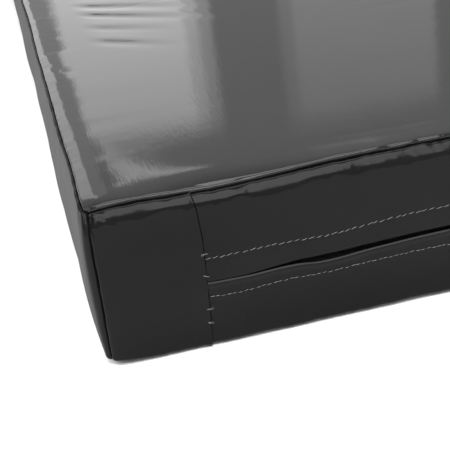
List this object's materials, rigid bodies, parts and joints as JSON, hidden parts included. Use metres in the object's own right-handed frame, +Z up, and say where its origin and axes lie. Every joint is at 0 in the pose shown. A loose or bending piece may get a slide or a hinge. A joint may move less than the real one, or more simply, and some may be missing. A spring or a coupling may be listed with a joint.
{
  "type": "folding gym mat",
  "caption": "Folding gym mat: foam sections in a black vinyl cover, hinged along a fold, each with a concealed zip in its end wall and a webbing carry handle.",
  "frame": {"origin": "centre of the open mat's footprint, on the floor it lies on", "axes": "+Z up, +Y along the open mat's length across the fold, +X along the fold line"},
  "size_m": [1.22, 1.8566, 0.1013],
  "materials": {
    "cover_vinyl": "satin",
    "foam_base": "matte",
    "foam_top": "matte",
    "zip_tape": "matte",
    "zip_coil": "satin",
    "zip_metal": "satin",
    "webbing": "matte"
  },
  "bodies": {
    "section_a": {"foam_base_a": "foam_base", "foam_top_a": "foam_top", "top_panel_a": "cover_vinyl", "bottom_panel_a": "cover_vinyl", "side_wall_left_a": "cover_vinyl", "side_wall_right_a": "cover_vinyl", "hinge_wall_a": "cover_vinyl", "end_piece_left_a": "cover_vinyl", "end_piece_right_a": "cover_vinyl", "zip_band_upper_a": "cover_vinyl", "zip_band_lower_a": "cover_vinyl", "zip_tape_upper_a": "zip_tape", "zip_tape_lower_a": "zip_tape", "zip_coil_upper_a": "zip_coil", "zip_coil_lower_a": "zip_coil", "zip_top_stop_a": "zip_metal", "zip_bottom_stop_a": "zip_metal", "handle_anchor_left_a": "webbing", "handle_anchor_right_a": "webbing", "hinge_strip_a": "cover_vinyl"},
    "flap_a": {"zip_flap_a": "cover_vinyl"},
    "slider_a": {"zip_slider_a": "zip_metal", "zip_pull_link_a": "zip_metal"},
    "pull_a": {"zip_pull_a": "zip_metal"},
    "handle_a": {"handle_loop_a": "webbing"},
    "section_b": {"foam_base_b": "foam_base", "foam_top_b": "foam_top", "top_panel_b": "cover_vinyl", "bottom_panel_b": "cover_vinyl", "side_wall_left_b": "cover_vinyl", "side_wall_right_b": "cover_vinyl", "hinge_wall_b": "cover_vinyl", "end_piece_left_b": "cover_vinyl", "end_piece_right_b": "cover_vinyl", "zip_band_upper_b": "cover_vinyl", "zip_band_lower_b": "cover_vinyl", "zip_tape_upper_b": "zip_tape", "zip_tape_lower_b": "zip_tape", "zip_coil_upper_b": "zip_coil", "zip_coil_lower_b": "zip_coil", "zip_top_stop_b": "zip_metal", "zip_bottom_stop_b": "zip_metal", "handle_anchor_left_b": "webbing", "handle_anchor_right_b": "webbing", "hinge_strip_b": "cover_vinyl"},
    "flap_b": {"zip_flap_b": "cover_vinyl"},
    "slider_b": {"zip_slider_b": "zip_metal", "zip_pull_link_b": "zip_metal"},
    "pull_b": {"zip_pull_b": "zip_metal"},
    "handle_b": {"handle_loop_b": "webbing"}
  },
  "joints": [
    {"name": "fold", "type": "hinge", "parent": "section_a", "child": "section_b", "pos_m": [0, 0, 0.102], "axis": [1, 0, 0], "range_deg": [0, 180]},
    {"name": "flap_lift_a", "type": "hinge", "parent": "section_a", "child": "flap_a", "pos_m": [0, -0.915, 0.0567], "axis": [-1, 0, 0], "range_deg": [0, 80], "stiffness_Nm_per_rad": 0.006},
    {"name": "zip_run_a", "type": "slide", "parent": "section_a", "child": "slider_a", "axis": [-1, 0, 0], "range_m": [0, 1.04]},
    {"name": "pull_swing_a", "type": "hinge", "parent": "slider_a", "child": "pull_a", "pos_m": [0.522, -0.9176, 0.0411], "axis": [-1, 0, 0], "range_deg": [0, 90]},
    {"name": "handle_pull_a", "type": "slide", "parent": "section_a", "child": "handle_a", "axis": [0, -1, 0], "range_m": [0, 0.018]},
    {"name": "flap_lift_b", "type": "hinge", "parent": "section_b", "child": "flap_b", "pos_m": [0, 0.915, 0.0567], "axis": [1, 0, 0], "range_deg": [0, 80], "stiffness_Nm_per_rad": 0.006},
    {"name": "zip_run_b", "type": "slide", "parent": "section_b", "child": "slider_b", "axis": [1, 0, 0], "range_m": [0, 1.04]},
    {"name": "pull_swing_b", "type": "hinge", "parent": "slider_b", "child": "pull_b", "pos_m": [-0.522, 0.9176, 0.0411], "axis": [1, 0, 0], "range_deg": [0, 90]},
    {"name": "handle_pull_b", "type": "slide", "parent": "section_b", "child": "handle_b", "axis": [0, 1, 0], "range_m": [0, 0.018]}
  ]
}
